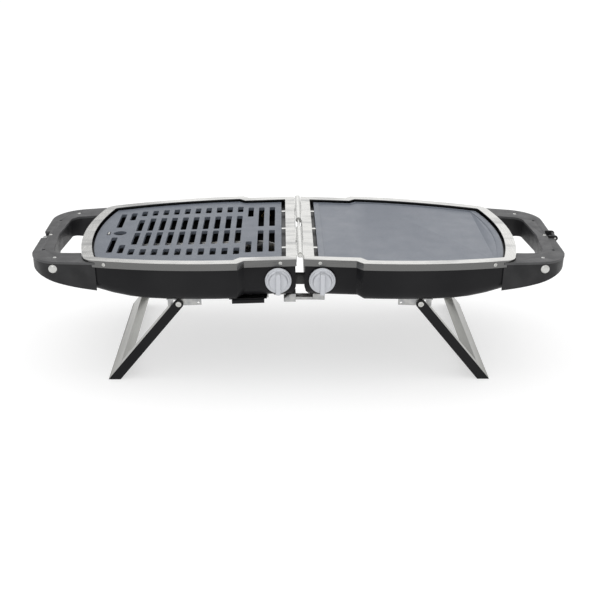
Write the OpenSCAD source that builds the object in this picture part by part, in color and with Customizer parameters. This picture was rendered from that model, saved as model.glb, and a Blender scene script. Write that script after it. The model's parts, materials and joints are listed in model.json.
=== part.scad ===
// Folding table-top gas grill: a slotted grate on the left half and a flat griddle on the right half.
// The halves fold on a piano hinge in the middle, and each half stands on a folding U-shaped leg.
// Millimetres. +X runs along the grill to the right, -Y is the front, +Z is up, z = 0 is the table.

/* [Deck] */
// Height of the top of the rims above the table, at the hinge
deck_h = 221; // [205:1:265]
// Slope of each opened half down towards its handle, in degrees
droop = 1.85; // [0:0.05:2.2]
// Distance from the hinge line to the far end of a rim
deck_end = 382; // [320:1:460]
// Half width of the deck beside the hinge
neck_y = 183; // [153:1:219]
// Extra half width of the deck past the shoulders
shoulder_step = 12; // [6:0.5:20]
// Distance from the hinge line to the start of the shoulder
shoulder_x = 93; // [86:1:120]
// Length of the sloping shoulder
shoulder_run = 11; // [8:0.5:16]
// Radius of the long sides, seen from above
side_r = 820; // [720:5:1100]
// Radius of the far end, seen from above
end_r = 547; // [440:1:700]
// Radius of the deck's outer corners
corner_r = 24; // [19:0.5:32]
// Width of the rim's top face
rim_w = 17; // [14:0.5:19]
// Extra width of the rim's top face at the far end
rim_end_extra = 1; // [0:0.5:5]
// Height of the rim's skirt
rim_skirt = 12; // [9:0.5:14]
// Thickness of the rim's sheet steel
rim_t = 1.5; // [1:0.1:2]
// Gap between the two rims at the hinge
rim_gap = 13; // [12.6:0.2:16]

/* [Tub] */
// How far the tub's wall stands inside the rim's outer edge
tub_inset = 2; // [1.8:0.1:3]
// Thickness of the tub's sheet steel
tub_t = 1.6; // [1.2:0.1:2.4]
// Height of the deepest part of the tub above the table, before it slopes
tub_z = 153.5; // [140:0.5:158]
// How much higher the tub's bottom is beside the hinge
neck_rise = 2; // [1:0.5:6]
// Distance from the hinge line to where the bottom starts to rise
keel_x = 240; // [215:1:270]
// Radius of the rise of the tub's bottom towards the far end
keel_r = 420; // [340:1:520]
// Width of the shelf that the cooking plates rest on
shelf_w = 22; // [19:0.5:26]

/* [Cooking plates] */
// Thickness of the grate and of the griddle
plate_t = 6; // [5:0.5:8]
// How far the plates' top lies below the rim's top
plate_drop = 5; // [2:0.5:6]
// Gap between a plate's edge and the rim
plate_gap = 1.5; // [1:0.1:2.5]
// Gap between a plate's straight edge and the rim beside the hinge
plate_hinge_gap = 7.5; // [5:0.5:9]
// Distance from one grate slot to the next
slot_pitch = 20; // [19:0.1:24]
// Width of a grate slot
slot_w = 10.4; // [8:0.1:12]

/* [Handles] */
// Distance from the hinge line to a handle's end
handle_end = 457; // [430:1:540]
// Half length of the straight part of a handle's end
handle_flat = 91; // [76:1:110]
// Radius of a handle's outer corners
handle_r = 60; // [50:1:70]
// Width of the bar that the hand holds
grip_w = 28; // [25:0.5:34]
// How far a handle's top lies below the rim's top
handle_drop = 3.5; // [2:0.5:7]
// Thickness of a handle's top cover
cover_t = 4; // [3:0.5:5]

/* [Hinge] */
// Height of the hinge pin's centre above the rim's top
pin_rise = 1.5; // [1.2:0.1:3]
// Outer radius of the hinge knuckles
knuckle_r = 5; // [4.2:0.1:5]
// Radius of the hinge pin
pin_r = 2; // [1.5:0.1:2.5]
// Radial clearance of turning pins and screws
fit = 0.05; // [0.02:0.01:0.1]

/* [Legs] */
// Distance from the hinge line to a leg's pivot
pivot_x = 205.5; // [190:0.5:230]
// How far a leg's pivot lies below the tub's bottom
pivot_drop = 8.4; // [8.4:0.1:12]
// Distance from the hinge line to a leg's foot
foot_x = 327; // [300:1:380]
// Width of a leg's strut
strut_w = 16; // [14:0.5:18]
// Thickness of a leg's sheet steel
leg_t = 2; // [1.5:0.1:2.5]
// Depth of the flange along a strut
flange_w = 20; // [14:0.5:24]
// Height of the crossbar that joins a leg's two struts
crossbar_h = 33; // [24:0.5:34]
// Thickness of the black cover on a strut
strut_cover_t = 1.5; // [1:0.1:2]

/* [Controls] */
// Distance from the hinge line to a knob's axis
knob_x = 37.5; // [34:0.5:50]
// How far a knob's axis lies below the rim's top
knob_drop = 35; // [32:0.5:38]
// Radius of a knob's skirt
knob_r = 22; // [17:0.5:24]
// Length of a knob from the panel outwards
knob_len = 26; // [20:0.5:32]
// Radius of a valve's stem
stem_r = 3; // [2.5:0.1:4]

/* [Gas] */
// Radius of the burner tubes
burner_r = 8; // [6.5:0.5:10]
// Distance from the hinge line to a burner's closed end
burner_end = 305; // [260:1:320]
// Radius of the hose that links the two halves
hose_r = 10.5; // [8:0.5:11]

/* [Drip tray and lock] */
// Width of the drip tray's flanges
tray_w = 63; // [50:1:64]
// Length of the drip tray, front to back
tray_len = 108; // [80:1:130]
// Width of the sliding lock bar
lock_w = 18; // [14:0.5:20]
// Width of the carrying latch
latch_w = 24; // [18:0.5:28]

/* [Hidden] */
$fn = 48;
eps = 0.01;             // overshoot of a cut through a face
near = 0.3;             // gap between pieces that move past each other
seat = 0.5;             // gap between fixed pieces that don't touch

belly_y = neck_y + shoulder_step;
rim_x = rim_gap / 2;                       // inner end of a rim
shoulder_end = shoulder_x + shoulder_run;
step_angle = atan2(shoulder_step, shoulder_run);
side_c = [shoulder_end, belly_y - side_r];  // centre of the long side's arc
end_c = [deck_end - end_r, 0];              // centre of the far end's arc
skirt_z = deck_h - rim_skirt;
tub_top = deck_h - rim_t;
plate_z = deck_h - plate_drop;             // top of the plates
shelf_z = plate_z - plate_t;               // top of the shelf
shelf_t = 2;
neck_z = tub_z + neck_rise;
panel_y = neck_y - tub_inset;              // outer face of the control panel
cover_z = deck_h - handle_drop;            // top of a handle's cover
handle_top = cover_z - cover_t;
pin_z = deck_h + pin_rise;
pivot_z = tub_z - pivot_drop;
// Where a point of a level half, given as [x, z], comes to lie on the slope.
function lowered(p) = let (z = p[1] - pin_z)
    [p[0] * cos(droop) + z * sin(droop), pin_z - p[0] * sin(droop) + z * cos(droop)];
pivot = lowered([pivot_x, pivot_z]);
knob_z = deck_h - knob_drop;
leg_side = neck_y - 9;                     // outer face of a strut
screw_r = 2.5;                             // leg pivot screws
leg_reach = norm([foot_x - pivot[0], pivot[1]]);
leg_angle = atan2(pivot[1], foot_x - pivot[0]) + asin(strut_w / 2 / leg_reach);
leg_len = sqrt(leg_reach * leg_reach - strut_w * strut_w / 4);  // pivot to the foot's outer corner
flange_start = 14;                         // where a strut's flange starts below its pivot

// ---------- outlines seen from above ----------

function arc(c, r, a0, a1, n) = [for (i = [0:n]) let (a = a0 + (a1 - a0) * i / n) c + r * [cos(a), sin(a)]];
function tail(list) = [for (i = [1:len(list) - 1]) list[i]];
function flip(list) = [for (i = [len(list) - 1:-1:0]) [list[i][0], -list[i][1]]];
// The meeting point, on the far side, of two circles.
function meet(c1, r1, c2, r2) =
    let (v = c2 - c1, d = norm(v), u = v / d, a = (r1 * r1 - r2 * r2 + d * d) / (2 * d))
    c1 + a * u + sqrt(r1 * r1 - a * a) * [u[1], -u[0]];
// The back half of the deck's outline, from the hinge to the middle of the far end, moved inwards by d.
function deck_edge(d, extra = 0, x = rim_x) =
    let (p = meet(side_c, side_r - corner_r, end_c, end_r - extra - corner_r),
         k = d * tan(step_angle / 2),
         a1 = atan2(p[1] - side_c[1], p[0] - side_c[0]),
         a2 = atan2(p[1], p[0] - end_c[0]))
    concat([[x + d, neck_y - d], [shoulder_x + k, neck_y - d]],
           arc(side_c, side_r - d, acos(k / (side_r - d)), a1, 8),
           tail(arc(p, max(corner_r - d, 1), a1, a2, 5)),
           tail(arc(end_c, end_r - extra - d, a2, 0, 8)));
// The back half of a handle's outline, moved inwards by d.
handle_c = [handle_end - handle_r, handle_flat];
handle_root = 82;                          // direction in which the corner meets the long side
function handle_edge(d) =
    let (p = handle_c + (handle_r - d) * [cos(handle_root), sin(handle_root)],
         x = deck_end - 40, y = p[1] + (p[0] - x) / tan(handle_root))
    concat([[x, y]], arc(handle_c, handle_r - d, handle_root, 0, 10), [[handle_end - d, 0]]);
// The back half of the hand hole's outline, moved outwards by d.
grip_x = handle_end - grip_w;
hole_c = [grip_x - 28, handle_flat - 9];
function hole_edge(d) =
    let (r = 22 + d)
    concat([[deck_end - 40, hole_c[1] + 26 + d], [deck_end + 4, hole_c[1] + 24 + d]],
           arc(hole_c, r, 80, 10, 6), [[grip_x + d, 0]]);
function closed(edge) = concat(edge, tail(flip(edge)));
function tub_floor(x) =
    x < shoulder_end - 2 ? neck_z
    : tub_z + (x > keel_x ? keel_r - sqrt(keel_r * keel_r - (x - keel_x) * (x - keel_x)) : 0);

// The halves are drawn level along +X, then sloped about the hinge pin; the left one is mirrored.
module right_half() { translate([0, 0, pin_z]) rotate([0, droop, 0]) translate([0, 0, -pin_z]) children(); }
module left_half() { mirror([1, 0, 0]) right_half() children(); }
module left_leg() { mirror([1, 0, 0]) children(); }
module deck_slab(d, z0, z1, extra = 0, x = rim_x) {
    translate([0, 0, z0]) linear_extrude(z1 - z0) polygon(closed(deck_edge(d, extra, x)));
}
// A solid through closed rings of equal length, each symmetric about y = 0, with its first and last ring capped.
module skin(rings) {
    n = len(rings[0]);
    m = (n + 1) / 2;
    last = (len(rings) - 1) * n;
    points = [for (ring = rings) for (p = ring) p];
    walls = [for (k = [0:len(rings) - 2]) for (i = [0:n - 1])
        let (j = (i + 1) % n, a = k * n, b = a + n)
        each [[a + i, a + j, b + j], [a + i, b + j, b + i]]];
    function strips(a) = concat(
        [for (i = [0:m - 3]) each [[a + i, a + n - 1 - i, a + n - 2 - i], [a + i, a + n - 2 - i, a + i + 1]]],
        [[a + m - 2, a + m, a + m - 1]]);
    bottom = [for (f = strips(0)) [f[0], f[1], f[2]]];
    top = [for (f = strips(last)) [f[2], f[1], f[0]]];
    polyhedron(points, concat(walls, bottom, top));
}

// ---------- tubs and rims ----------

bevel_h = min(18, knob_z - 10 - neck_z);   // stays below the nuts on the panel
bevel = [[0, 16], [2.5, 10], [8, 5], [bevel_h, 2]];  // rise above the floor, extra inset past the wall's
function tub_ring(rise, d, t = 0) =
    [for (p = closed(deck_edge(d))) [p[0], p[1], tub_floor(p[0]) + rise + t]];
module tub_bowl() {
    wall = tub_inset + tub_t;
    outer = [for (b = bevel) tub_ring(b[0], tub_inset + b[1] - 2)];
    inner = [for (i = [len(bevel) - 1:-1:0]) let (b = bevel[i])
        tub_ring(b[0] * 0.93, wall + b[1] - 2, tub_t)];
    rim_outer = [for (p = closed(deck_edge(tub_inset))) [p[0], p[1], tub_top]];
    rim_inner = [for (p = closed(deck_edge(wall))) [p[0], p[1], tub_top]];
    skin(concat(outer, [rim_outer, rim_inner], inner));
}
hose_y = -(panel_y - 16);
hose_z = knob_z - 4.5;
module tub() {
    color("#1c1c1e") difference() {
        union() {
            tub_bowl();
            difference() {
                deck_slab(tub_inset + eps, shelf_z - shelf_t, shelf_z);
                deck_slab(tub_inset + shelf_w + 2, shelf_z - shelf_t - 1, shelf_z + 1);
            }
        }
        // holes for the valve's stem and the hose
        translate([knob_x, -panel_y - 1, knob_z]) rotate([-90, 0, 0]) cylinder(r = stem_r + 2, h = tub_t + 2);
        translate([rim_x - 1, hose_y, hose_z]) rotate([0, 90, 0]) cylinder(r = hose_r + 1, h = tub_t + 10);
    }
}
drain_x = 89;
drain_y = -(panel_y - 70);
inlet_x = 62;
inlet_r = 6;
// The left tub also has a hole for the gas inlet and one that drains grease into the tray.
module left_tub_body() {
    difference() {
        tub();
        translate([inlet_x, panel_y - tub_t - 1, knob_z]) rotate([-90, 0, 0]) cylinder(r = inlet_r, h = tub_t + 2);
        translate([drain_x, drain_y, tub_z - 1]) cylinder(r = 8, h = tub_t + neck_rise + 4);
    }
}
rim_screw_x = [33, deck_end - 56];
rim_screw_z = skirt_z + rim_skirt / 2;
rim_screw_h = 2.1;                         // height of a rim screw's head
function side_angle(x) = x < shoulder_end ? 0 : asin((x - side_c[0]) / side_r);
function side_y(x) = x < shoulder_x ? neck_y : side_c[1] + sqrt(side_r * side_r - (x - side_c[0]) * (x - side_c[0]));
module at_rim_screws() {
    for (x = rim_screw_x) for (s = [-1, 1])
        translate([x, s * side_y(x), rim_screw_z]) rotate([0, 0, -s * side_angle(x)]) rotate([-s * 90, 0, 0]) children();
}
module rim() {
    color("#c9c8c2") difference() {
        deck_slab(0, skirt_z, deck_h);
        deck_slab(rim_t * 0.8, skirt_z - 1, deck_h - rim_t);
        deck_slab(rim_w, skirt_z, deck_h + 1, rim_end_extra);
        at_rim_screws() translate([0, 0, -4]) cylinder(r = 1.6, h = 8);
    }
}
module rim_screws() {
    color("#e4e4e0") at_rim_screws() difference() {
        union() {
            translate([0, 0, -rim_t * 0.8 - 0.3]) cylinder(r = 1.6, h = rim_t * 0.8 + 0.3);
            rotate_extrude() polygon([[0, 0], [3.4, 0], [3.2, 1], [2.2, 1.8], [0, rim_screw_h]]);
        }
        for (a = [0, 90]) rotate([0, 0, a]) translate([-1.9, -0.35, 1]) cube([3.8, 0.7, 2]);
    }
}

// ---------- cooking plates ----------

module plate_blank(z0, z1, d = 0) {
    deck_slab(rim_w + plate_gap + d, z0, z1, rim_end_extra + 2, rim_x + plate_hinge_gap - plate_gap);
}
// A slot along Y from y0 to y1 with rounded corners.
module slot(x, y0, y1, w = slot_w, r = 2.5) {
    translate([x, slot_shift, plate_z - plate_t - 1]) linear_extrude(plate_t + 2) union() {
        translate([-w / 2, y0 + r]) square([w, y1 - y0 - 2 * r]);
        translate([-w / 2 + r, y0]) square([w - 2 * r, y1 - y0]);
        for (sx = [-1, 1]) for (y = [y0 + r, y1 - r]) translate([sx * (w / 2 - r), y]) circle(r, $fn = 16);
    }
}
slot_x0 = 48;                       // first slots from the hinge
slot_shift = 4;                     // how far the slots' middle lies behind the grate's
slot_long = [12, 129];              // half of the grate's width that a long slot covers
slot_mid = [5, 79];                 // the two middle rows
slot_side = [103, 137];             // the rows along the front and the back
slot_count = 10;                    // slots in each row
finger_x = deck_end - 62;
finger_r = 11.5;
clip_x = finger_x + 20;             // the clip beside the finger hole
clip_w = 12;
// A pair of slots, one on each side of the middle.
module slot_pair(x, y0, y1) {
    slot(x, y0, y1);
    slot(x, -y1, -y0);
}
module grate() {
    color("#6d737c") difference() {
        plate_blank(shelf_z, plate_z);
        for (i = [0, 1]) slot_pair(slot_x0 + i * slot_pitch, slot_long[0], slot_long[1]);
        slot_pair(slot_x0 + 2 * slot_pitch, slot_long[0] + 60, slot_long[1] + 1);
        for (i = [0:slot_count - 1]) {
            x = slot_x0 + (3 + i) * slot_pitch;
            drop = belly_y - side_y(max(x, shoulder_end));  // how far the side has curved in
            slot_pair(x, slot_mid[0], slot_mid[1] - (i == slot_count - 1 ? 8 : 0));
            slot_pair(x, slot_side[0] - drop * 0.4, slot_side[1] - drop * 0.6);
        }
        slot_pair(finger_x - 13, 71, 115);
        slot_pair(finger_x + 6, 28, 110);
        translate([finger_x, 0, shelf_z - 1]) cylinder(r = finger_r, h = plate_t + 2);
        translate([clip_x - 3, -clip_w / 2 - 3, shelf_z - 1]) cube([6, clip_w + 6, plate_t + 2]);
    }
}
module griddle() {
    color("#858b94") difference() {
        plate_blank(shelf_z, plate_z);
        // the cooking surface lies a little below its border
        deck_slab(rim_w + plate_gap + 5, plate_z - 1.2, plate_z + 1, rim_end_extra + 8,
                  rim_x + plate_hinge_gap - plate_gap + 5);
    }
}
clip_y = [-105, 0, 105];
module plate_clips() {
    color("#d8d8d4") for (y = clip_y) translate([rim_x + rim_w - 6, y - 4, 0]) {
        translate([0, 0, plate_z - 1]) cube([plate_hinge_gap + 6 - near, 8, 1]);
        translate([0, 0, shelf_z]) cube([1, 8, tub_top - shelf_z]);
    }
}
// A spring clip that is fixed under the shelf and comes up through the grate.
module grate_clip() {
    foot_z = shelf_z - shelf_t - 1.5;
    color("#d8d8d4") translate([clip_x - 1.5, -clip_w / 2, foot_z]) {
        cube([3, clip_w, plate_z + 0.8 - foot_z]);
        cube([deck_end - shelf_w / 2 - clip_x, clip_w, 1.5]);
    }
}

// ---------- handles ----------

function handle_floor(x) =
    let (t = (x - deck_end + 21) / (handle_end - deck_end + 21)) tub_floor(deck_end - 25) + 12 * t + 15 * max(t, 0) * t;
module handle_skin() {
    root = deck_end - 40;
    steps = 12;
    under = [for (i = [0:steps]) let (x = root + (handle_end - root) * i / steps) [x, handle_floor(x)]];
    intersection() {
        translate([0, 0, tub_z]) linear_extrude(handle_top - tub_z) polygon(closed(handle_edge(0)));
        translate([0, belly_y, 0]) rotate([90, 0, 0]) linear_extrude(2 * belly_y)
            polygon(concat(under, [[handle_end + 1, handle_floor(handle_end)], [handle_end + 1, handle_top + 1],
                                   [root, handle_top + 1]]));
    }
}
module hole_prism(d, z0, z1) { translate([0, 0, z0]) linear_extrude(z1 - z0) polygon(closed(hole_edge(d))); }
cap_x = handle_end - 43;
cap_z = cover_z - 12.5;
cap_r = 7.5;
cap_y = handle_c[1] + sqrt(handle_r * handle_r - (cap_x - handle_c[0]) * (cap_x - handle_c[0]));
cover_screws = [[handle_end - 13, 0], [cap_x, 126], [cap_x, -126]];
notch_w = latch_w + 12;
notch_x = handle_end - 9;
module handle_cuts(z0, z1) {
    hole_prism(0, z0, z1);
    translate([notch_x, -notch_w / 2, z0]) cube([20, notch_w, z1 - z0]);
    deck_slab(-seat, skirt_z - seat, z1);
}
module handle() {
    color("#2a2a2b") difference() {
        handle_skin();
        handle_cuts(tub_z - 5, handle_top + 1);
        deck_slab(tub_inset, tub_z - 5, handle_top + 1);
        // hollow under the cover
        difference() {
            translate([0, 0, handle_top - 14]) linear_extrude(15) difference() {
                polygon(closed(handle_edge(4)));
                polygon(closed(hole_edge(4)));
            }
            translate([notch_x - 4, -notch_w / 2 - 4, tub_z]) cube([20, notch_w + 8, 100]);
            deck_slab(-seat - 4, tub_z, deck_h + 1);
            for (p = cover_screws) translate([p[0], p[1], tub_z]) cylinder(r = 5, h = 100);
            for (s = [-1, 1]) translate([cap_x, s * cap_y, cap_z]) rotate([s * 90, 0, 0]) cylinder(r = cap_r + 3, h = 16);
        }
        for (p = cover_screws) translate([p[0], p[1], handle_top - 10]) cylinder(r = 1.6, h = 11);
        for (s = [-1, 1]) translate([cap_x, s * (cap_y - 5), cap_z]) rotate([-s * 90, 0, 0]) cylinder(r = cap_r, h = 12);
    }
}
recess = [handle_end - 16, 84];
module handle_cover() {
    color("#6a6a6a") difference() {
        translate([0, 0, handle_top]) linear_extrude(cover_t) polygon(closed(handle_edge(-0.8)));
        handle_cuts(handle_top - 1, cover_z + 1);
        for (p = cover_screws) translate([p[0], p[1], handle_top - 1]) {
            cylinder(r = 1.7, h = cover_t + 2);
            translate([0, 0, cover_t - 0.6]) cylinder(r = 3.8, h = 3);
        }
        for (s = [-1, 1]) translate([recess[0], s * recess[1], cover_z - 3]) cylinder(r = 3, h = 4);
    }
}
module handle_screws() {
    color("#e4e4e0") for (p = cover_screws) translate([p[0], p[1], 0]) difference() {
        union() {
            translate([0, 0, handle_top - 9]) cylinder(r = 1.6, h = 9 + cover_t - 1);
            translate([0, 0, cover_z - 1.6]) rotate_extrude() polygon([[0, 0], [3.5, 0], [3.4, 1], [2.4, 2], [0, 2.4]]);
        }
        for (a = [0, 90]) rotate([0, 0, a]) translate([-2, -0.4, cover_z]) cube([4, 0.8, 2]);
    }
}
module handle_caps() {
    color("#c9c8c2") for (s = [-1, 1]) translate([cap_x, s * (cap_y - 5), cap_z]) rotate([-s * 90, 0, 0])
        rotate_extrude() polygon([[0, 0], [cap_r - 0.1, 0], [cap_r - 0.1, 6.2], [cap_r - 1.5, 7.4], [cap_r / 2, 8.4], [0, 8.8]]);
}

// ---------- hinge ----------

leaf_t = rim_x - knuckle_r - seat;
knuckle_split = [-(neck_y - 17), -88, -21, 26, 98, neck_y - 13];
module knuckles(spans) {
    for (y = spans) translate([0, y[0] + 0.15, pin_z]) rotate([-90, 0, 0]) cylinder(r = knuckle_r, h = y[1] - y[0] - 0.3);
}
module leaf(spans) {
    color("#d9d9d5") difference() {
        union() {
            translate([rim_x - leaf_t, knuckle_split[0], skirt_z + 1])
                cube([leaf_t, knuckle_split[5] - knuckle_split[0], pin_z - skirt_z - 1 - seat]);
            knuckles(spans);
            for (y = spans) translate([pin_r + 1, y[0] + 0.15, pin_z - knuckle_r + 0.4])
                cube([rim_x - pin_r - 1 - eps, y[1] - y[0] - 0.3, knuckle_r - 0.4 - seat / 2]);
        }
        translate([0, -neck_y, pin_z]) rotate([-90, 0, 0]) cylinder(r = pin_r + fit, h = 2 * neck_y);
    }
}
left_spans = [[knuckle_split[1], knuckle_split[2]], [knuckle_split[4], knuckle_split[5]]];
right_spans = [[knuckle_split[0], knuckle_split[1]], [knuckle_split[3], knuckle_split[4]]];
module hinge_pin() {
    color("#9a9a98") translate([0, knuckle_split[0] - 3, pin_z]) rotate([-90, 0, 0]) {
        cylinder(r = pin_r, h = knuckle_split[5] - knuckle_split[0] + 6);
        cylinder(r = pin_r + 1.4, h = 2.6);
        translate([0, 0, knuckle_split[5] - knuckle_split[0] + 3.4]) cylinder(r = pin_r + 1.4, h = 2.6);
    }
}

// ---------- legs: drawn along +X from the pivot, then turned down to the table ----------

module leg_frame() { translate([pivot[0], 0, pivot[1]]) rotate([0, leg_angle, 0]) children(); }
module above_table() {
    difference() {
        children();
        translate([pivot_x - 60, -300, -200]) cube([foot_x, 600, 200]);
    }
}
module both_struts() { for (s = [0, 1]) mirror([0, s, 0]) children(); }
module strut_face(y0, y1) {
    translate([0, -y1, 0]) rotate([-90, 0, 0]) union() {
        cylinder(r = strut_w / 2, h = y1 - y0);
        translate([0, -strut_w / 2, 0]) cube([leg_len + strut_w, strut_w, y1 - y0]);
    }
}
module leg_struts() {
    color("#a3a49f") above_table() leg_frame() both_struts() difference() {
        union() {
            strut_face(leg_side - leg_t, leg_side);
            translate([flange_start, -leg_side, strut_w / 2 - leg_t])
                cube([leg_len - crossbar_h - flange_start - near, flange_w, leg_t]);
        }
        translate([0, -leg_side - 1, 0]) rotate([-90, 0, 0]) cylinder(r = screw_r + fit, h = leg_t + 2);
    }
}
module leg_crossbar() {
    width = 2 * (leg_side - leg_t);
    color("#a3a49f") above_table() union() {
        leg_frame() {
            translate([leg_len - crossbar_h, -width / 2, strut_w / 2 - leg_t]) cube([crossbar_h + 6, width, leg_t]);
            translate([leg_len - crossbar_h, -width / 2, -strut_w / 2]) cube([leg_t, width, strut_w]);
        }
        translate([foot_x - 14, -width / 2, 0]) cube([14 - leg_t * 0.6, width, leg_t]);
    }
}
module leg_covers() {
    color("#161617") above_table() leg_frame() both_struts() difference() {
        strut_face(leg_side, leg_side + strut_cover_t);
        translate([0, -leg_side - strut_cover_t - 1, 0]) rotate([-90, 0, 0])
            cylinder(r = screw_r + 0.4, h = strut_cover_t + 2);
    }
}
bracket_side = leg_side - leg_t - seat;
bracket_len = 38;
nut_r = 4.6;
nut_h = 3.5;
shank_over = 5;                            // how far a pivot screw's shank runs past its bracket
stop_angle = leg_angle - droop;            // the opened leg against its own half
stop_top = [pivot_x + flange_start * cos(stop_angle) + strut_w / 2 * sin(stop_angle),
            pivot_z - flange_start * sin(stop_angle) + strut_w / 2 * cos(stop_angle)];
module leg_brackets() {
    color("#b4b4b0") both_struts() difference() {
        union() {
            translate([pivot_x, -bracket_side, pivot_z]) rotate([-90, 0, 0]) cylinder(r = strut_w / 2 - 1, h = leg_t);
            translate([pivot_x - bracket_len, -bracket_side, pivot_z - 4]) cube([bracket_len, leg_t, tub_z - pivot_z + 4]);
            translate([pivot_x - bracket_len, -bracket_side, tub_z - leg_t]) cube([bracket_len + 20, 34, leg_t]);
            // the tab that stops the opened leg
            translate([stop_top[0] - 5, -bracket_side, stop_top[1] + 0.4])
                cube([8, flange_w - 6, tub_z - stop_top[1] - 0.4 - eps]);
        }
        translate([pivot_x, -bracket_side - 1, pivot_z]) rotate([-90, 0, 0]) {
            cylinder(r = screw_r, h = leg_t + 2);
            translate([0, 0, leg_t + 1]) cylinder(r = nut_r + seat, h = shank_over + seat);
        }
        translate([pivot_x - bracket_len + 5, -bracket_side - 1, pivot_z]) rotate([-90, 0, 0]) cylinder(r = 2, h = leg_t + 2);
    }
}
module leg_screws() {
    head = leg_side + strut_cover_t + near;
    color("#dcdcd8") both_struts() translate([pivot_x, -head, pivot_z]) rotate([-90, 0, 0]) difference() {
        union() {
            cylinder(r = screw_r, h = head - bracket_side + leg_t + shank_over);
            rotate_extrude() polygon([[0, 0], [5, 0], [4.8, -1.2], [3.2, -2.2], [0, -2.6]]);
            translate([0, 0, head - bracket_side + leg_t]) cylinder(r = nut_r, h = nut_h, $fn = 6);
        }
        for (a = [0, 90]) rotate([0, 0, a]) translate([-2.6, -0.5, -3]) cube([5.2, 1, 1.8]);
    }
}

// ---------- knobs, valves and burners ----------

knob_y = neck_y + rim_screw_h + seat;      // back face of a knob, clear of the rim's screws
module knob() {
    color("#b5b8bf") translate([knob_x, -knob_y, knob_z]) rotate([90, 0, 0]) difference() {
        union() {
            cylinder(r = knob_r, h = 3);
            translate([0, 0, 3]) cylinder(r = knob_r - 1.5, h = 3);
            translate([0, 0, 6]) cylinder(r = knob_r - 4, h = 7);
            translate([-4.5, -(knob_r - 3), 6]) cube([9, 2 * (knob_r - 3), knob_len - 6]);
        }
        translate([0, 0, -1]) cylinder(r = stem_r, h = 13);
    }
}
module stem() {
    color("#c8b46a") translate([knob_x, -knob_y - 12, knob_z]) rotate([-90, 0, 0])
        cylinder(r = stem_r, h = knob_y + 12 - panel_y + tub_t + 14);
}
valve_y = panel_y - tub_t - near;
valve_len = 34;
module valve() {
    color("#b8b39a") difference() {
        union() {
            translate([knob_x, -valve_y, knob_z]) rotate([-90, 0, 0]) cylinder(r = 9, h = 8);
            translate([knob_x - 8, -valve_y + 8, knob_z - 16]) cube([16, valve_len - 8, 24]);
            translate([knob_x, -valve_y + valve_len, knob_z]) rotate([-90, 0, 0]) cylinder(r = 4, h = 8);
            translate([hose_end - nipple_len, hose_y, hose_z]) rotate([0, 90, 0])
                cylinder(r = nipple_r, h = knob_x - 8 - hose_end + nipple_len + eps);
        }
        translate([knob_x, -valve_y - 1, knob_z]) rotate([-90, 0, 0]) cylinder(r = stem_r + fit, h = 20);
    }
}
hose_end = rim_x + tub_inset + tub_t + 8;
nipple_r = hose_r - 4;                     // the valves' nipples, which go into the hose
nipple_len = 8;
bend_r = 40;
mix_y = -(valve_y - valve_len - 8 - 3);   // open mouth of the mixing tube
module burner() {
    color("#9c9a94") difference() {
        union() {
            translate([knob_x, mix_y, knob_z]) rotate([-90, 0, 0]) cylinder(r = burner_r, h = -bend_r - mix_y);
            translate([knob_x + bend_r, -bend_r, knob_z]) rotate([0, 0, 90])
                rotate_extrude(angle = 90) translate([bend_r, 0]) circle(burner_r);
            translate([knob_x + bend_r, 0, knob_z]) rotate([0, 90, 0])
                cylinder(r = burner_r, h = burner_end - knob_x - bend_r);
            translate([burner_end - 2, 0, knob_z]) rotate([0, 90, 0]) cylinder(r = burner_r + 1, h = 3);
        }
        translate([knob_x, mix_y - 1, knob_z]) rotate([-90, 0, 0]) cylinder(r = burner_r - 1, h = -bend_r - mix_y);
        translate([knob_x, mix_y + 14, knob_z - burner_r - 1]) cylinder(r = 4, h = 2 * burner_r + 2);
        for (x = [knob_x + bend_r + 14:18:burner_end - 10]) for (s = [-1, 1])
            translate([x, s * burner_r, knob_z + 2]) rotate([90, 0, 0]) cylinder(r = 1.2, h = 4, center = true);
    }
}
cradle_x = [shoulder_end + 22, keel_x - 40];
module burner_cradles() {
    floor_z = tub_z + tub_t;
    color("#8f8f8b") for (x = cradle_x) difference() {
        union() {
            translate([x - 1.5, -14, floor_z]) cube([3, 28, knob_z - floor_z]);
            translate([x - 8, -14, floor_z]) cube([16, 28, 2]);
        }
        translate([x - 5, 0, knob_z]) rotate([0, 90, 0]) cylinder(r = burner_r, h = 10);
    }
}
module crossover_hose() {
    z = lowered([hose_end - nipple_len / 2, hose_z])[1];
    color("#111112") translate([-hose_end, hose_y, z]) rotate([0, 90, 0]) difference() {
        cylinder(r = hose_r, h = 2 * hose_end);
        translate([0, 0, -1]) cylinder(r = nipple_r + seat, h = 2 * hose_end + 2);
    }
}
module gas_inlet() {
    color("#c8a850") translate([inlet_x, panel_y, knob_z]) rotate([-90, 0, 0]) difference() {
        union() {
            translate([0, 0, -tub_t - 6]) cylinder(r = inlet_r, h = 30);
            cylinder(r = 10, h = 6, $fn = 6);
            translate([0, 0, -tub_t - 4]) cylinder(r = 9, h = 4, $fn = 6);
        }
        translate([0, 0, 2]) cylinder(r = 3.5, h = 30);
    }
}

// A pipe with square elbows through the given points.
module pipe(points, r) {
    last = len(points) - 2;
    for (i = [0:last]) let (v = points[i + 1] - points[i], u = v / norm(v))
        translate(points[i] - (i > 0 ? r : 0) * u) rotate([0, acos(u[2]), atan2(u[1], u[0])])
            cylinder(r = r, h = norm(v) + (i > 0 ? r : 0) + (i < last ? r : 0));
}
pipe_z = knob_z - 15;                      // runs below the burner
module supply_pipe() {
    y = panel_y - tub_t - 22;
    color("#b08d57") pipe([[inlet_x, panel_y - tub_t - 6, knob_z], [inlet_x, y, knob_z], [inlet_x, y, pipe_z],
                           [inlet_x, -y, pipe_z], [inlet_x, -y, knob_z - 8], [knob_x + 8, -y, knob_z - 8]], 3);
}

// ---------- drip tray under the left half, lock bar under the hinge ----------

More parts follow.
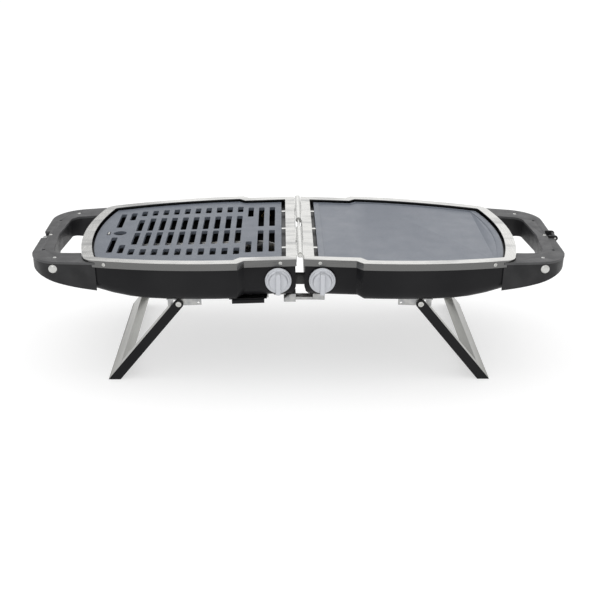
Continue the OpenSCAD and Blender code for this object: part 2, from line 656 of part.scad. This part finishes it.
tray_x = drain_x - tray_w / 2;
tray_top = tub_z - 0.5;
tray_front = -(panel_y - 3);
module drip_tray() {
    lip = 4.5;
    color("#1a1a1b") difference() {
        union() {
            translate([tray_x, tray_front, tray_top - 1.5]) cube([tray_w, tray_len, 1.5]);
            translate([tray_x + lip, tray_front, tray_top - 8]) cube([tray_w - 2 * lip, tray_len, 8]);
            translate([tray_x + lip, tray_front - 3, tray_top - 8]) cube([tray_w - 2 * lip, 3 + eps, 6]);
        }
        translate([tray_x + lip + 1.5, tray_front + 1.5, tray_top - 6.5])
            cube([tray_w - 2 * lip - 3, tray_len - 3, 8]);
    }
}
module tray_rails() {
    rail_y = -(neck_y - 17);
    color("#b4b4b0") for (s = [-1, 1]) {
        top = s < 0 ? neck_z : tub_z;
        edge = drain_x + s * (tray_w / 2 + seat);
        translate([edge + (s < 0 ? -2 : 0), rail_y, tray_top - 4.5]) cube([2, tray_len - 20, top - tray_top + 4.5]);
        translate([edge + (s < 0 ? -2 : -3.5), rail_y, tray_top - 4.5]) cube([5.5, tray_len - 20, 2.7]);
    }
}
// The bar lies level under the hinge, so the guide and the keeper make up for the halves' slopes.
lock_y = -(neck_y - 18 - lock_w / 2);
lock_z = neck_z - 8;                       // top of the bar
lock_t = 5;
lock_tip = 38;
lock_tail = 21;
guide_x = [-46, -27, -7];                  // flange's end, block's ends
module lock_guide() {
    color("#9a9b98") difference() {
        union() {
            translate([guide_x[1], lock_y - lock_w / 2 - 3, lock_z - lock_t - 2.5])
                cube([guide_x[2] - guide_x[1], lock_w + 6, neck_z - 1.5 - lock_z + lock_t + 2.5]);
            left_half() translate([-guide_x[1] - 1, lock_y - lock_w / 2 - 3, neck_z - 1.6])
                cube([guide_x[1] - guide_x[0] + 1, lock_w + 6, 1.6]);
        }
        translate([guide_x[0] - 1, lock_y - lock_w / 2 - near, lock_z - lock_t - near])
            cube([60, lock_w + 2 * near, lock_t + 2 * near]);
    }
}
module lock_bar() {
    color("#8d8e8b") translate([-lock_tail, lock_y - lock_w / 2, lock_z - lock_t]) cube([lock_tail + lock_tip, lock_w, lock_t]);
}
module lock_keeper() {
    roof = 2;
    color("#9a9b98") difference() {
        translate([24, lock_y - lock_w / 2 - 3, lock_z - lock_t + 2]) cube([20, lock_w + 6, neck_z - lock_z + lock_t - 2]);
        translate([23, lock_y - lock_w / 2 - near, lock_z - lock_t]) cube([22, lock_w + 2 * near, neck_z - roof - lock_z + lock_t]);
    }
}

// ---------- carrying latch on the handles' ends ----------

latch_x = handle_end + 3;
latch_z = cover_z - 1;
latch_reach = 2 * (pin_z - latch_z) + 11;   // pivot to the hook's far side, across both handles when folded
module latch_bracket() {
    color("#2a2a2b") difference() {
        union() for (s = [-1, 1]) translate([0, s * (latch_w / 2 + 2) - 1.7, 0]) {
            translate([notch_x, 0, latch_z - 5]) cube([latch_x - notch_x, 3.4, 10]);
            translate([latch_x, 0, latch_z]) rotate([-90, 0, 0]) cylinder(r = 5, h = 3.4);
        }
        translate([latch_x, -latch_w, latch_z]) rotate([-90, 0, 0]) cylinder(r = 1.5, h = 2 * latch_w);
    }
}
module latch_pin() {
    w = latch_w + 7.4;
    color("#dcdcd8") translate([latch_x, -w / 2, latch_z]) rotate([-90, 0, 0]) cylinder(r = 1.5, h = w);
}
module latch() {
    color("#3a3a3b") translate([latch_x, -latch_w / 2, latch_z]) difference() {
        union() {
            rotate([-90, 0, 0]) cylinder(r = 3.4, h = latch_w);
            translate([-2.6, 0, -latch_reach]) cube([2.6, latch_w, latch_reach]);
            translate([-2.6, 0, -latch_reach]) cube([7.6, latch_w, 2.5]);
        }
        translate([0, -1, 0]) rotate([-90, 0, 0]) cylinder(r = 1.5 + fit, h = latch_w + 2);
    }
}
module latch_catch() {
    color("#b4b4b0") translate([notch_x, -latch_w / 2, 0]) {
        translate([0, 0, cover_z - 18]) cube([1.5, latch_w, 15]);
        translate([0, 0, cover_z - 8]) cube([latch_x - notch_x - near - 0.5, latch_w, 2]);
    }
}

left_half() left_tub_body();  // left_tub
right_half() tub();  // right_tub
left_half() rim();  // left_rim
right_half() rim();  // right_rim
left_half() grate();  // cooking_grate
right_half() griddle();  // griddle_plate
left_half() handle();  // left_handle
right_half() handle();  // right_handle
left_half() handle_cover();  // left_handle_cover
right_half() handle_cover();  // right_handle_cover
left_half() handle_caps();  // left_handle_caps
right_half() handle_caps();  // right_handle_caps
left_half() handle_screws();  // left_handle_screws
right_half() handle_screws();  // right_handle_screws
left_half() rim_screws();  // left_rim_screws
right_half() rim_screws();  // right_rim_screws
left_half() leaf(left_spans);  // left_hinge_leaf
right_half() leaf(right_spans);  // right_hinge_leaf
hinge_pin();
left_leg() leg_struts();  // left_leg_struts
leg_struts();  // right_leg_struts
left_leg() leg_crossbar();  // left_leg_crossbar
leg_crossbar();  // right_leg_crossbar
left_leg() leg_covers();  // left_leg_covers
leg_covers();  // right_leg_covers
left_half() leg_brackets();  // left_leg_brackets
right_half() leg_brackets();  // right_leg_brackets
left_half() leg_screws();  // left_leg_screws
right_half() leg_screws();  // right_leg_screws
left_half() knob();  // left_knob
right_half() knob();  // right_knob
left_half() stem();  // left_stem
right_half() stem();  // right_stem
left_half() valve();  // left_valve
right_half() valve();  // right_valve
left_half() burner();  // left_burner
right_half() burner();  // right_burner
left_half() burner_cradles();  // left_burner_cradles
right_half() burner_cradles();  // right_burner_cradles
crossover_hose();
left_half() gas_inlet();
left_half() supply_pipe();
left_half() plate_clips();  // left_plate_clips
right_half() plate_clips();  // right_plate_clips
left_half() grate_clip();
left_half() drip_tray();
left_half() tray_rails();
lock_guide();
lock_bar();
right_half() lock_keeper();
right_half() latch_bracket();
right_half() latch_pin();
right_half() latch();
left_half() latch_catch();
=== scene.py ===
# Folding camp grill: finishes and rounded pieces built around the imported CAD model.
import json
import math

import bmesh
import bpy
from mathutils import Matrix, Vector


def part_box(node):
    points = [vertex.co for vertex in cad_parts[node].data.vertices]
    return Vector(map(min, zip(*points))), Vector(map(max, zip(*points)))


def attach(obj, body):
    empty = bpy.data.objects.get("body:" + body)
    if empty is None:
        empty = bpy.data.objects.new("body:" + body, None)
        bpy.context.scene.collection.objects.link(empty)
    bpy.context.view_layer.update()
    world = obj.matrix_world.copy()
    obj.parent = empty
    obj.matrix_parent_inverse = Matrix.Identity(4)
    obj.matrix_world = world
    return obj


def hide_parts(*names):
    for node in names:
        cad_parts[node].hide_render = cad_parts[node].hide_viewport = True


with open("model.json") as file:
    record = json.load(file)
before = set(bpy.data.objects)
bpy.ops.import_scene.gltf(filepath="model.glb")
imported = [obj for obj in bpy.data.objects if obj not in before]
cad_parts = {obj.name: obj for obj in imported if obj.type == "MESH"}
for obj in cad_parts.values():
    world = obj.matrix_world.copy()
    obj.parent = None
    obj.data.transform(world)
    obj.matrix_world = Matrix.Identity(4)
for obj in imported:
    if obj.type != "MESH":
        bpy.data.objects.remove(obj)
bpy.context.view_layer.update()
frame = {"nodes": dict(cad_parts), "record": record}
nodes = frame["nodes"]
body_of = {n: b for b, members in frame["record"]["behaviour"]["bodies"].items() for n in members}
slot_of = {p["node"]: p["material_slot"] for p in frame["record"]["subparts"]}
scene = bpy.context.scene
scene.view_settings.view_transform = "Standard"


# ---------- finishes ----------

class Finish:
    """A material that is put together from its shader, its patterns and its bumps."""

    def __init__(self, name, color, roughness, metallic=0.0):
        self.material = bpy.data.materials.new(name)
        self.material.use_nodes = True
        self.tree = self.material.node_tree
        self.shader = self.tree.nodes["Principled BSDF"]
        self.shader.inputs["Base Color"].default_value = (*color, 1)
        self.shader.inputs["Roughness"].default_value = roughness
        self.shader.inputs["Metallic"].default_value = metallic
        self.color = color
        self.place = self.tree.nodes.new("ShaderNodeTexCoord")
        self.normal = None

    def set(self, **values):
        for name, value in values.items():
            self.shader.inputs[name.replace("_", " ")].default_value = value
        return self

    def noise(self, scale, stretch=(1, 1, 1), detail=3, rough=0.5):
        mapping = self.tree.nodes.new("ShaderNodeMapping")
        mapping.inputs["Scale"].default_value = stretch
        self.tree.links.new(self.place.outputs["Object"], mapping.inputs["Vector"])
        noise = self.tree.nodes.new("ShaderNodeTexNoise")
        noise.inputs["Scale"].default_value = scale
        noise.inputs["Detail"].default_value = detail
        noise.inputs["Roughness"].default_value = rough
        self.tree.links.new(mapping.outputs["Vector"], noise.inputs["Vector"])
        return noise.outputs["Fac"]

    def cells(self, scale):
        cells = self.tree.nodes.new("ShaderNodeTexVoronoi")
        cells.inputs["Scale"].default_value = scale
        self.tree.links.new(self.place.outputs["Object"], cells.inputs["Vector"])
        return cells.outputs["Distance"]

    def upright_shade_mask(self):
        """1 where the surface stands up or hangs down, and 0 where it faces up: the mask for painted shade on
        upright faces.
        """
        parts = self.tree.nodes.new("ShaderNodeSeparateXYZ")
        self.tree.links.new(self.place.outputs["Normal"], parts.inputs["Vector"])
        return self.spread(parts.outputs["Z"], 0.85, 0.35, 0, 1)

    def spread(self, pattern, low, high, to_low, to_high):
        """The pattern's values from low to high become to_low to to_high."""
        node = self.tree.nodes.new("ShaderNodeMapRange")
        node.inputs["From Min"].default_value = low
        node.inputs["From Max"].default_value = high
        node.inputs["To Min"].default_value = to_low
        node.inputs["To Max"].default_value = to_high
        self.tree.links.new(pattern, node.inputs["Value"])
        return node.outputs["Result"]

    def along(self, axis, low, high):
        """0 where the distance from the middle along axis is under low, and 1 past high."""
        parts = self.tree.nodes.new("ShaderNodeSeparateXYZ")
        self.tree.links.new(self.place.outputs["Object"], parts.inputs["Vector"])
        size = self.tree.nodes.new("ShaderNodeMath")
        size.operation = "ABSOLUTE"
        self.tree.links.new(parts.outputs[axis], size.inputs[0])
        return self.spread(size.outputs[0], low, high, 0, 1)

    def between(self, mask, a, b):
        node = self.tree.nodes.new("ShaderNodeMix")
        self.tree.links.new(mask, node.inputs["Factor"])
        self.tree.links.new(a, node.inputs["A"])
        self.tree.links.new(b, node.inputs["B"])
        return node.outputs["Result"]

    def tint(self, pattern, other, low=0.3, high=0.7):
        """Colours the surface from its own colour to another as the pattern goes from low to high."""
        mix = self.tree.nodes.new("ShaderNodeMix")
        mix.data_type = "RGBA"
        self.tree.links.new(self.spread(pattern, low, high, 0, 1), mix.inputs["Factor"])
        source = self.shader.inputs["Base Color"]
        if source.links:
            self.tree.links.new(source.links[0].from_socket, mix.inputs["A"])
        else:
            mix.inputs["A"].default_value = (*self.color, 1)
        mix.inputs["B"].default_value = (*other, 1)
        self.tree.links.new(mix.outputs["Result"], source)
        return self

    def polish(self, pattern, low, high):
        self.tree.links.new(self.spread(pattern, 0.3, 0.7, low, high), self.shader.inputs["Roughness"])
        return self

    def bump(self, pattern, depth, strength=1.0):
        node = self.tree.nodes.new("ShaderNodeBump")
        node.inputs["Distance"].default_value = depth
        node.inputs["Strength"].default_value = strength
        self.tree.links.new(pattern, node.inputs["Height"])
        if self.normal:
            self.tree.links.new(self.normal, node.inputs["Normal"])
        self.normal = node.outputs["Normal"]
        self.tree.links.new(self.normal, self.shader.inputs["Normal"])
        return self


def black_enamel():
    f = Finish("black enamel", (0.007, 0.007, 0.008), 0.32)
    f.tint(f.noise(9), (0.013, 0.013, 0.014)).polish(f.noise(30, detail=5), 0.27, 0.40)
    f.bump(f.noise(420, detail=2), 0.00006).bump(f.noise(26), 0.0004, 0.35)
    return f.set(Specular_IOR_Level=0.12, Coat_Weight=0.02, Coat_Roughness=0.25).material


def brushed_rim():
    """Stainless sheet, brushed along the sides and across the ends, with painted shade darkening its upright
    skirts.
    """
    f = Finish("brushed stainless", (0.40, 0.40, 0.385), 0.24, 1.0)
    side, end = f.noise(1, (40, 1500, 1500), 4), f.noise(1, (1500, 40, 1500), 4)
    brush = f.between(f.along("X", 0.345, 0.365), side, end)
    f.tint(brush, (0.62, 0.615, 0.60)).polish(brush, 0.18, 0.32)
    f.tint(f.noise(9, (1, 4, 4)), (0.33, 0.33, 0.325), 0.48, 0.66)
    # painted shade: the upright skirts of the rim are darkened to stand in for the dark reflection they catch
    f.tint(f.upright_shade_mask(), (0.15, 0.15, 0.148), 0, 1)
    return f.bump(brush, 0.00003).material


def bright_steel():
    f = Finish("bright steel", (0.55, 0.55, 0.535), 0.24, 1.0)
    f.tint(f.noise(60), (0.58, 0.58, 0.56)).polish(f.noise(160, detail=4), 0.16, 0.34)
    return f.bump(f.noise(900), 0.00002).material


def zinc_steel():
    """Dull zinc plate with faint crystals."""
    f = Finish("zinc plate", (0.34, 0.345, 0.35), 0.42, 1.0)
    f.tint(f.cells(150), (0.44, 0.44, 0.43), 0.2, 0.8).polish(f.cells(110), 0.34, 0.52)
    return f.bump(f.noise(500), 0.00004).material


def leg_steel():
    f = Finish("satin leg steel", (0.33, 0.33, 0.315), 0.36, 1.0)
    brush = f.noise(1, (600, 30, 600), 4)
    f.tint(brush, (0.42, 0.42, 0.40)).polish(brush, 0.28, 0.44)
    return f.bump(brush, 0.00004).material


def burner_steel():
    """Stainless that heat has turned straw and blue in patches."""
    f = Finish("heated stainless", (0.52, 0.52, 0.51), 0.32, 1.0)
    f.tint(f.noise(24, (1, 3, 3)), (0.44, 0.38, 0.28), 0.55, 0.85)
    f.tint(f.noise(17, (1, 2, 2)), (0.26, 0.27, 0.33), 0.68, 0.92)
    return f.polish(f.noise(90), 0.26, 0.46).bump(f.noise(380), 0.00004).material


def speckled_coating(name, color, light, rough):
    """Non-stick coating with a fine pale speckle."""
    f = Finish(name, color, rough)
    f.tint(f.noise(1500, detail=1), light, 0.62, 0.74)
    f.tint(f.noise(620, detail=1), tuple(c * 0.6 for c in color), 0.62, 0.78)
    f.polish(f.noise(35, detail=5), rough - 0.04, rough + 0.07)
    f.bump(f.noise(900, detail=2), 0.00005).bump(f.noise(22), 0.0003, 0.3)
    return f.set(Specular_IOR_Level=0.3).material


def moulded(name, color, light, rough, grain=1900):
    """Moulded plastic with a fine leather-like grain."""
    f = Finish(name, color, rough)
    f.tint(f.noise(40), light, 0.35, 0.9).polish(f.noise(55, detail=4), rough - 0.05, rough + 0.08)
    f.bump(f.cells(grain), 0.00010, 0.5).bump(f.noise(30), 0.0003, 0.3)
    return f.set(Specular_IOR_Level=0.25).material


def silver_plastic():
    """Knob plastic with fine metal flake under a clear skin."""
    f = Finish("silver plastic", (0.50, 0.515, 0.545), 0.36, 0.35)
    f.tint(f.noise(2600, detail=1), (0.68, 0.69, 0.72), 0.55, 0.75).polish(f.noise(70), 0.30, 0.42)
    return f.bump(f.noise(1400), 0.00002).set(Coat_Weight=0.4, Coat_Roughness=0.16).material


def brass():
    f = Finish("machined brass", (0.60, 0.44, 0.20), 0.30, 1.0)
    f.tint(f.noise(45), (0.42, 0.30, 0.15), 0.45, 0.8).polish(f.noise(120), 0.22, 0.40)
    return f.bump(f.noise(1, (60, 900, 900)), 0.00003).material


def hose_rubber():
    f = Finish("hose rubber", (0.012, 0.012, 0.012), 0.55)
    f.tint(f.noise(200), (0.030, 0.030, 0.029), 0.5, 0.8)
    return f.polish(f.noise(90), 0.48, 0.66).bump(f.noise(1300), 0.00008).material


finishes = {
    "black_enamel": black_enamel(),
    "stainless": brushed_rim(),
    "bright_steel": bright_steel(),
    "zinc_steel": zinc_steel(),
    "leg_steel": leg_steel(),
    "burner_steel": burner_steel(),
    "grate_coating": speckled_coating("grate coating", (0.125, 0.140, 0.168), (0.28, 0.30, 0.34), 0.42),
    "griddle_coating": speckled_coating("griddle coating", (0.150, 0.165, 0.195), (0.28, 0.30, 0.34), 0.40),
    "black_plastic": moulded("black plastic", (0.013, 0.013, 0.014), (0.028, 0.028, 0.029), 0.42),
    "grey_plastic": moulded("grey plastic", (0.062, 0.062, 0.064), (0.095, 0.095, 0.097), 0.50),
    "knob_silver": silver_plastic(),
    "brass": brass(),
    "rubber": hose_rubber(),
}
finish_of = {}
for side in ("left_", "right_"):
    for small in ("rim_screws", "handle_screws", "handle_caps", "hinge_leaf", "plate_clips", "leg_screws"):
        finish_of[side + small] = "bright_steel"
    finish_of[side + "burner"] = "burner_steel"
for small in ("hinge_pin", "grate_clip", "latch_pin"):
    finish_of[small] = "bright_steel"


# ---------- pieces ----------

def place(name, bm, node, sharp=50):
    """Makes a mesh object that stands for a CAD node, gives it its finish and hides the node; the caller
    attaches it to its body.
    """
    mesh = bpy.data.meshes.new(name)
    bm.to_mesh(mesh)
    bm.free()
    for face in mesh.polygons:
        face.use_smooth = True
    mesh.set_sharp_from_angle(angle=math.radians(sharp))
    piece = bpy.data.objects.new(name, mesh)
    scene.collection.objects.link(piece)
    mesh.materials.append(finishes[finish_of.get(node, slot_of[node])])
    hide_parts(node)
    return piece


MERGE = 2e-6          # corners of the CAD mesh closer than this are one corner
FLAT = math.radians(0.6)
CREASE = math.radians(32)  # edges sharper than this are rounded


def rounded(node, radius):
    """A CAD node's shape with its sharp edges rounded."""
    bm = bmesh.new()
    bm.from_mesh(nodes[node].data)
    bmesh.ops.remove_doubles(bm, verts=bm.verts, dist=MERGE)
    bmesh.ops.dissolve_limit(bm, angle_limit=FLAT, verts=bm.verts, edges=bm.edges,
                             use_dissolve_boundaries=False)
    piece = place(node + "_piece", bm, node)
    soften = piece.modifiers.new("rounded edges", "BEVEL")
    soften.width = radius
    soften.segments = 2
    soften.limit_method = "ANGLE"
    soften.angle_limit = CREASE
    soften.harden_normals = True
    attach(piece, body_of[node])
    return piece


radii = {"tub": 0.0012, "rim": 0.0008, "handle": 0.0022, "handle_cover": 0.0013, "hinge_leaf": 0.0003,
         "leg_struts": 0.0005, "leg_crossbar": 0.0005, "leg_covers": 0.0004, "leg_brackets": 0.0004,
         "leg_screws": 0.0003, "valve": 0.0008, "burner_cradles": 0.0003, "handle_caps": 0.0004,
         "handle_screws": 0.0002, "rim_screws": 0.0002, "plate_clips": 0.0003, "burner": 0.0003, "stem": 0.0003}
for side in ("left_", "right_"):
    for part, radius in radii.items():
        rounded(side + part, radius)
for part, radius in {"cooking_grate": 0.0010, "griddle_plate": 0.0010, "hinge_pin": 0.0004, "gas_inlet": 0.0004,
                     "supply_pipe": 0.0002, "grate_clip": 0.0004, "drip_tray": 0.0006, "tray_rails": 0.0004,
                     "lock_guide": 0.0005, "lock_bar": 0.0006, "lock_keeper": 0.0005, "latch_bracket": 0.0005,
                     "latch_pin": 0.0002, "latch": 0.0006, "latch_catch": 0.0004}.items():
    rounded(part, radius)


def turned(bm, profile, steps=72):
    """Spins a profile of (radius, distance) pairs round the Z axis into a closed shape."""
    verts = [bm.verts.new((r, 0, z)) for r, z in profile]
    edges = [bm.edges.new(pair) for pair in zip(verts, verts[1:])]
    bmesh.ops.spin(bm, geom=verts + edges, cent=(0, 0, 0), axis=(0, 0, 1), angle=2 * math.pi, steps=steps,
                   use_merge=True, use_duplicate=False)
    bmesh.ops.remove_doubles(bm, verts=bm.verts, dist=1e-6)


def knob(node):
    """A control knob: a stepped skirt, a round hub and a grip bar across it."""
    low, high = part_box(node)
    centre = Vector(((low.x + high.x) / 2, high.y, (low.z + high.z) / 2))
    r, length = (high.x - low.x) / 2, high.y - low.y
    bm = bmesh.new()
    turned(bm, [(0, 0), (r - 0.0006, 0), (r, 0.0006), (r, 0.0022), (r - 0.0006, 0.0030), (r - 0.0022, 0.0033),
                (r - 0.0028, 0.0040), (r - 0.0032, 0.0056), (r - 0.0044, 0.0062), (r - 0.0058, 0.0072),
                (r - 0.0066, 0.0120), (r - 0.0078, 0.0136), (r - 0.0100, 0.0142), (0, 0.0146)])
    # the grip bar, narrower at its front
    bar = bmesh.ops.create_cube(bm, size=1)["verts"]
    for v in bar:
        front = v.co.z > 0
        v.co = Vector((v.co.x * (0.0078 if front else 0.0100), v.co.y * 2 * (r - (0.0048 if front else 0.0036)),
                       length if front else 0.006))
    edges = list({e for v in bar for e in v.link_edges})
    bmesh.ops.bevel(bm, geom=edges, offset=0.0018, segments=4, profile=0.5, affect="EDGES", material=-1)
    bmesh.ops.recalc_face_normals(bm, faces=bm.faces)
    bmesh.ops.rotate(bm, verts=bm.verts, cent=(0, 0, 0), matrix=Matrix.Rotation(math.radians(90), 3, "X"))
    bmesh.ops.translate(bm, verts=bm.verts, vec=centre)
    piece = place(node + "_piece", bm, node, sharp=38)
    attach(piece, body_of[node])


for side in ("left_", "right_"):
    knob(side + "knob")


def hose(node):
    """The gas hose across the fold, split at the hinge so that each length stays on its own valve."""
    low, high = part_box(node)
    mid = (low + high) / 2
    half, r = (high.x - low.x) / 2, (high.z - low.z) / 2
    inner, ferrule, steps = r - 0.0035, 0.006, 24
    for side, body in ((-1, "left_half"), (1, "right_half")):
        profile = [(inner, 0), (inner, half)]
        for i in range(steps, -1, -1):
            x = half * i / steps
            profile.append((r if half - x < ferrule else r - 0.0006, x))
        bm = bmesh.new()
        turned(bm, profile + [(inner, 0)], 40)
        bmesh.ops.rotate(bm, verts=bm.verts, cent=(0, 0, 0),
                         matrix=Matrix.Rotation(math.radians(90 * side), 3, "Y"))
        bmesh.ops.recalc_face_normals(bm, faces=bm.faces)
        bmesh.ops.translate(bm, verts=bm.verts, vec=mid)
        piece = place(f"{node}_{body}", bm, node, sharp=40)
        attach(piece, body)


hose("crossover_hose")


# ---------- floor, light and camera ----------

def floor():
    bm = bmesh.new()
    bmesh.ops.create_grid(bm, x_segments=1, y_segments=1, size=40)
    mesh = bpy.data.meshes.new("floor")
    bm.to_mesh(mesh)
    bm.free()
    sheet = bpy.data.objects.new("floor", mesh)
    scene.collection.objects.link(sheet)
    sheet.location.z = -0.0005
    pale = bpy.data.materials.new("pale floor")
    pale.use_nodes = True
    shader = pale.node_tree.nodes["Principled BSDF"]
    shader.inputs["Base Color"].default_value = (0.5, 0.5, 0.5, 1)
    shader.inputs["Roughness"].default_value = 0.9
    shader.inputs["Emission Color"].default_value = (1, 1, 1, 1)
    shader.inputs["Emission Strength"].default_value = 0.55
    mesh.materials.append(pale)


def soft_light(name, place_at, look_at, size, power):
    light = bpy.data.lights.new(name, "AREA")
    light.shape = "RECTANGLE"
    light.size, light.size_y = size
    light.energy = power
    lamp = bpy.data.objects.new(name, light)
    scene.collection.objects.link(lamp)
    lamp.location = place_at
    lamp.rotation_euler = (Vector(look_at) - Vector(place_at)).to_track_quat("-Z", "Y").to_euler()


floor()
soft_light("overhead", (0, 0.3, 2.2), (0, 0, 0.1), (2.6, 1.6), 9)
soft_light("front", (-0.9, -2.2, 1.3), (0, 0, 0.15), (1.4, 1.0), 3)
soft_light("back", (0.6, 2.4, 1.2), (0, 0, 0.2), (2.6, 0.9), 4)
world = bpy.data.worlds.new("studio")
world.use_nodes = True
world.node_tree.nodes["Background"].inputs["Color"].default_value = (1, 1, 1, 1)
world.node_tree.nodes["Background"].inputs["Strength"].default_value = 0.95
scene.world = world

CAMERA_AT = (-0.0333, -1.9376, 0.8403)
PITCH, YAW, ROLL = math.radians(21.5), -0.01892, 0.00682
camera = bpy.data.cameras.new("camera")
camera.lens = 68.0
camera.sensor_width = 36
viewer = bpy.data.objects.new("camera", camera)
scene.collection.objects.link(viewer)
ahead = Vector((-math.sin(YAW) * math.cos(PITCH), math.cos(YAW) * math.cos(PITCH), -math.sin(PITCH)))
right = Vector((math.cos(YAW), math.sin(YAW), 0))
up = right.cross(ahead)
across = math.cos(ROLL) * right + math.sin(ROLL) * up
over = math.cos(ROLL) * up - math.sin(ROLL) * right
turn = Matrix((across, over, -ahead)).transposed()
viewer.matrix_world = Matrix.Translation(CAMERA_AT) @ turn.to_4x4()
scene.camera = viewer
